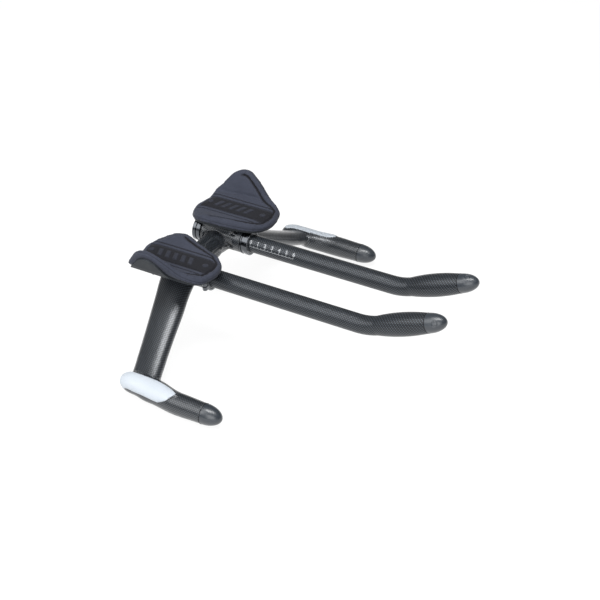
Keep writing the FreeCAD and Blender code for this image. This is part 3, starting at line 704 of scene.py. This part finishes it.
def sew(pad, sign):
    """Presses grooves and a band into the pad's top, raises its bars and buttons, and marks painted shade in
    the grooves and at the rim seam, and the darker band.
    """
    place, normal = points_of(pad)
    spots = [trough_place(sign * spot[1], spot[2]) for spot in place]
    across = np.array([spot[0] for spot in spots])
    up = np.array([(0.0, sign * spot[2].x, spot[2].y) for spot in spots])
    facing = (normal * up).sum(axis=1)
    rim = np.nonzero(np.abs(facing) < RIM_FACING)[0]
    tree = KDTree(len(rim))
    for i in rim:
        tree.insert(place[i], int(i))
    tree.balance()
    edge = np.array([tree.find(spot)[2] for spot in place])
    x = place[:, 0]
    height = np.array([spot[1] for spot in spots])
    top = ramp(facing, *TOP_FACING)
    inside = ramp(edge, *FOLD_STOP)
    dip = np.zeros(len(place))
    for line, depth in ((FOLD_INNER_Y, 1.0), (FOLD_INNER_Y + FOLD_GAP, SECOND_FOLD),
                        (FOLD_OUTER_Y - FOLD_GAP, SECOND_FOLD), (FOLD_OUTER_Y, 1.0)):
        dip = np.maximum(dip, depth * line_dip(across - line) * inside)
    border = BORDER_DEPTH * line_dip((edge - BORDER_INSET) * BORDER_WIDTH) * ramp(x, *BORDER_REAR)
    dip = np.maximum(dip, border)
    off = across - BAND_MIDDLE
    band = ramp(BAND_HALF - np.abs(off), 0.0, BAND_EDGE) * ramp(edge, BORDER_INSET, BAND_EDGE)
    rise = np.zeros(len(place))
    for bar in range(BAR_COUNT):
        lean = (x - (BAR_START + BAR_STEP * bar)) - BAR_LEAN * off
        body = ramp(BAR_HALF_WIDTH - np.abs(lean), 0.0, SOFT_EDGE)
        rise = np.maximum(rise, body * ramp(BAR_HALF_LENGTH - np.abs(off), 0.0, SOFT_EDGE))
    for button in BUTTON_XS:
        rise = np.maximum(rise, ramp(BUTTON_R - np.hypot(x - button, off), 0.0, SOFT_EDGE))
    move = top * (BAR_HEIGHT * rise - GROOVE_DEPTH * dip - BAND_DEPTH * band)
    set_points(pad, place + up * move[:, None])
    shade_and_band = pad.data.attributes.new("shade_and_band", "FLOAT", "POINT")
    # Painted shade: the grooves by their depth, and a seam line for a crease that is not shaped; the band is
    # darker too, its raised bars half as much.
    seam = np.clip(1 - np.abs(height - SEAM_HEIGHT) / SEAM_HALF, 0, 1) * (np.abs(facing) < SEAM_FACING)
    dark = np.maximum(top * np.maximum(dip, BAND_DARK * band * (1 - BAR_DARK * rise)), SEAM_DARK * seam)
    shade_and_band.data.foreach_set("value", np.clip(dark, 0, 1))


def arm_pad(side):
    """Foam pad with a rounded rim: remeshed, swollen, refined and sewn."""
    sign = SIDES[side]
    pad = remesh(merged_copy(side + "_pad", side + "_arm_pad"), PAD_VOXEL)
    smooth(pad, 2)
    fatten(pad, PAD_RESTORE)
    fill_out(pad, sign)
    plump(pad, sign)
    smooth(pad, 2)
    apply_modifier(pad, "Refine", "SUBSURF", levels=2, render_levels=2)
    sew(pad, sign)
    return shade(pad, 60)


TIP_X = 0.077
TIP_SHARE = 0.72
PALM_VOXEL = 0.0007
PALM_RESTORE = 0.0003


def palm_pad(side):
    """Soft palm pad with rounded edges, laid over the horn."""
    palm = remesh(merged_copy(side + "_palm", side + "_palm_pad"), PALM_VOXEL)
    place, _ = points_of(palm)
    place[:, 0] = np.where(place[:, 0] > TIP_X, TIP_X + TIP_SHARE * (place[:, 0] - TIP_X), place[:, 0])
    set_points(palm, place)
    smooth(palm, 10)
    fatten(palm, PALM_RESTORE)
    return shade(palm, 60)


# Seams of the end plugs

SEAM_R = 0.00035
SEAM_WIDEN = 1.3
GRIP_END_R = 0.01135
GRIP_END = (0.3200, 0.03385)


def seam_ring(name, place, radius, turn):
    """Dark line round the joint between a plug and its tube."""
    bpy.ops.object.select_all(action="DESELECT")
    bpy.ops.mesh.primitive_torus_add(major_radius=radius - SEAM_R / 3, minor_radius=SEAM_R, major_segments=96,
                                     minor_segments=10)
    ring = bpy.context.object
    ring.name = name
    bpy.ops.object.mode_set(mode="EDIT")
    bpy.ops.mesh.select_all(action="SELECT")
    bpy.ops.transform.resize(value=(1, 1, SEAM_WIDEN), center_override=(0, 0, 0))
    bpy.ops.object.mode_set(mode="OBJECT")
    ring.location = place
    ring.rotation_euler = (0, math.pi / 2 - turn, 0)
    return shade(finish_place(ring), 60)


# Length scale printed on the left tube

SCALE_START = 0.048
SCALE_STEP = 0.010
SCALE_MARKS = 7
SCALE_TURN = math.radians(50)
DIGIT_HEIGHT = 0.0046
DIGIT_SHARE = 0.7
DIGIT_Y = -0.0022
DIGIT_WEIGHT = 0.0002
LINE_Y = -0.0052
LINE_WIDTH = 0.0006
LONG_TICK = 0.0022
SHORT_TICK = 0.0013
STRIP = 0.0007
PRINT_ENDS = (-0.007, 0.005)
INK = 0.00002


def wrap_on_tube(flat):
    """Bends a flat print round the inner side of the left tube."""
    for point in flat.data.vertices:
        turn = SCALE_TURN - point.co.y / TUBE_R
        radius = TUBE_R + INK
        point.co = Vector((point.co.x, TUBE_Y - radius * math.sin(turn), TUBE_Z + radius * math.cos(turn)))


def slice_flat(flat, low, high, step):
    """Cuts a flat print into narrow strips, so that it can follow the tube."""
    only(flat)
    bpy.ops.object.mode_set(mode="EDIT")
    cut = low + step
    while cut < high:
        bpy.ops.mesh.select_all(action="SELECT")
        bpy.ops.mesh.bisect(plane_co=(0, cut, 0), plane_no=(0, 1, 0))
        cut += step
    bpy.ops.object.mode_set(mode="OBJECT")


def length_scale():
    """Ticks over a line, with plain numbers."""
    half = LINE_WIDTH / 2
    prints = []
    for mark in range(2 * SCALE_MARKS - 1):
        tall = LONG_TICK if mark % 2 == 0 else SHORT_TICK
        x = SCALE_START + mark * SCALE_STEP / 2
        prints.append((x - half, x + half, LINE_Y, LINE_Y + tall))
    last = SCALE_START + (SCALE_MARKS - 1) * SCALE_STEP
    prints.append((SCALE_START - half, last + half, LINE_Y - LINE_WIDTH, LINE_Y))
    parts = []
    for x0, x1, y0, y1 in prints:
        bpy.ops.object.select_all(action="DESELECT")
        bpy.ops.mesh.primitive_plane_add(size=1, location=((x0 + x1) / 2, (y0 + y1) / 2, 0))
        bpy.context.object.scale = (x1 - x0, y1 - y0, 1)
        parts.append(finish_place(bpy.context.object))
    for number in range(SCALE_MARKS):
        bpy.ops.object.select_all(action="DESELECT")
        bpy.ops.object.text_add(location=(SCALE_START + number * SCALE_STEP, DIGIT_Y, 0))
        digit = bpy.context.object
        digit.data.body = str(number)
        digit.data.align_x = "CENTER"
        digit.data.size = DIGIT_HEIGHT / DIGIT_SHARE
        digit.data.offset = DIGIT_WEIGHT
        only(digit)
        bpy.ops.object.convert(target="MESH")
        parts.append(finish_place(bpy.context.object))
    scale = join("length_scale", parts)
    slice_flat(scale, *PRINT_ENDS, STRIP)
    wrap_on_tube(scale)
    only(scale)
    bpy.ops.object.mode_set(mode="EDIT")
    bpy.ops.mesh.select_all(action="SELECT")
    bpy.ops.mesh.remove_doubles(threshold=MERGE_DISTANCE / 2)
    bpy.ops.mesh.normals_make_consistent(inside=False)
    bpy.ops.object.mode_set(mode="OBJECT")
    return scale


# Dressing the frame

bar_carbon = carbon("bar_carbon", bar_surface, 1.0)
tube_carbon = carbon("tube_carbon", tube_surface, 0.3)
cloth = pad_cloth()
rubber = palm_rubber()
plug_black = moulded("plug_black", (0.014, 0.019, 0.026, 1), (0.038, 0.049, 0.064, 1), 0.38, 1400.0, 0.6)
cup_grey = moulded("cup_grey", (0.018, 0.021, 0.025, 1), (0.042, 0.048, 0.056, 1), 0.55, 900.0)
loop_black = moulded("loop_black", (0.008, 0.008, 0.009, 1), (0.020, 0.020, 0.022, 1), 0.9, 2500.0)
collar_black = metal("collar_black", (0.045, 0.050, 0.058, 1), (0.095, 0.105, 0.120, 1), 0.24, 1.0)
bolt_grey = metal("bolt_grey", (0.22, 0.225, 0.23, 1), (0.36, 0.365, 0.37, 1), 0.35)
insert_bright = metal("insert_bright", (0.50, 0.51, 0.52, 1), (0.65, 0.66, 0.67, 1), 0.3)

NODE_FINISHES = {"extension": tube_carbon, "collar": collar_black, "cup_spacer": cup_grey,
                 "arm_cup": cup_grey, "pad_fastening": loop_black, "plug": plug_black, "bolts": bolt_grey,
                 "screws": bolt_grey, "inserts": insert_bright}

for node_name, node_object in nodes.items():
    for ending, material in NODE_FINISHES.items():
        if node_name.endswith(ending):
            node_object.data.materials.clear()
            node_object.data.materials.append(material)


def dress(piece, material, body, slot, *replaced):
    """Gives a finished piece its material and its body, and hides the nodes that it stands for; slot is not
    used.
    """
    piece.data.materials.clear()
    piece.data.materials.append(material)
    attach(piece, body)
    if replaced:
        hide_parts(*replaced)


dress(bar_skin(), bar_carbon, "bar", "carbon_weave", "base_bar")
for side_name, side_sign in SIDES.items():
    foam = arm_pad(side_name)
    dress(foam, cloth, "bar", "pad_foam", side_name + "_arm_pad")
    palm = palm_pad(side_name)
    dress(palm, rubber, "bar", "palm_gel", side_name + "_palm_pad")
    horn_seam = seam_ring(side_name + "_horn_seam", (HORN_SEAM_X, side_sign * HORN_Y, HORN_Z),
                          HORN_SEAM_R, 0.0)
    dress(horn_seam, loop_black, "bar", "plug_plastic")
    grip_seam = seam_ring(side_name + "_grip_seam", (GRIP_END[0], side_sign * TUBE_Y, GRIP_END[1]),
                          GRIP_END_R, BEND_TURN)
    dress(grip_seam, loop_black, side_name + "_tube", "plug_plastic")
dress(length_scale(), scale_ink(), "left_tube", "plain_alloy")


# Floor, light and camera

FLOOR_SIZE = 60
FLOOR_GAP = 0.0005
FLOOR_GREY = (0.70, 0.70, 0.70, 1)
GLOW_SHARE = 0.74
GLOW_STRENGTH = 1.22
SURROUND_STRENGTH = 0.22
LIT_POINT = (0.13, 0.0, 0.0)
CAMERA_PLACE = (0.7476, -1.1036, 0.8339)
CAMERA_AIM = (0.1268, 0.0174, -0.0363)
CAMERA_LENS = 77.1


def weight_of_sight(path):
    """Share of the floor's glow, for the eye, for reflections and through clear things."""
    rays = path.out("Is Camera Ray") + path.out("Is Glossy Ray") + path.out("Is Transmission Ray")
    return GLOW_SHARE * rays


def floor():
    """Wide pale floor just under the horns."""
    bpy.ops.object.select_all(action="DESELECT")
    bpy.ops.mesh.primitive_plane_add(size=FLOOR_SIZE, location=(0, 0, cad_box[0][2] - FLOOR_GAP))
    ground = bpy.context.object
    ground.name = "floor"
    pale = Finish("floor_pale", {"Base Color": FLOOR_GREY, "Roughness": 0.9, "Specular IOR Level": 0.1})
    seen = weight_of_sight(pale.node("ShaderNodeLightPath"))
    glow = pale.node("ShaderNodeEmission", inputs={"Color": (1, 1, 1, 1), "Strength": GLOW_STRENGTH})
    matt = Value(pale, pale.shader.outputs[0])
    blend = pale.node("ShaderNodeMixShader", inputs={0: seen, 1: matt, 2: glow})
    pale.tree.links.new(blend.socket, pale.tree.nodes["Material Output"].inputs["Surface"])
    ground.data.materials.append(pale.material)
    finish_place(ground)


def lamp(name, place, aim, width, depth, power):
    """Soft lamp turned towards a point, with its width level and its depth across that."""
    data = bpy.data.lights.new(name, "AREA")
    data.shape = "RECTANGLE"
    data.size = width
    data.size_y = depth
    data.energy = power
    holder = bpy.data.objects.new(name, data)
    holder.location = place
    holder.rotation_euler = (Vector(aim) - Vector(place)).to_track_quat("-Z", "Y").to_euler()
    bpy.context.scene.collection.objects.link(holder)


def studio():
    """Soft light from above, the rear right and the front right, and a dim even surround."""
    scene = bpy.context.scene
    lamp("key_light", (-0.75, -1.2, 1.2), LIT_POINT, 1.3, 1.3, 14.0)
    lamp("top_light", (0.25, -0.2, 1.45), LIT_POINT, 1.0, 0.5, 16.0)
    lamp("side_light", (0.7, -1.6, 0.7), LIT_POINT, 1.2, 1.2, 13.0)
    world = bpy.data.worlds.new("surround")
    world.use_nodes = True
    background = world.node_tree.nodes["Background"]
    background.inputs["Color"].default_value = (1, 1, 1, 1)
    background.inputs["Strength"].default_value = SURROUND_STRENGTH
    scene.world = world
    scene.view_settings.view_transform = "Standard"


def camera():
    """Camera at the photograph's angle, above the bar at its front right."""
    data = bpy.data.cameras.new("camera")
    data.sensor_width = 36.0
    data.lens = CAMERA_LENS
    holder = bpy.data.objects.new("camera", data)
    holder.location = CAMERA_PLACE
    holder.rotation_euler = (Vector(CAMERA_AIM) - Vector(CAMERA_PLACE)).to_track_quat("-Z", "Y").to_euler()
    bpy.context.scene.collection.objects.link(holder)
    bpy.context.scene.camera = holder


floor()
studio()
camera()
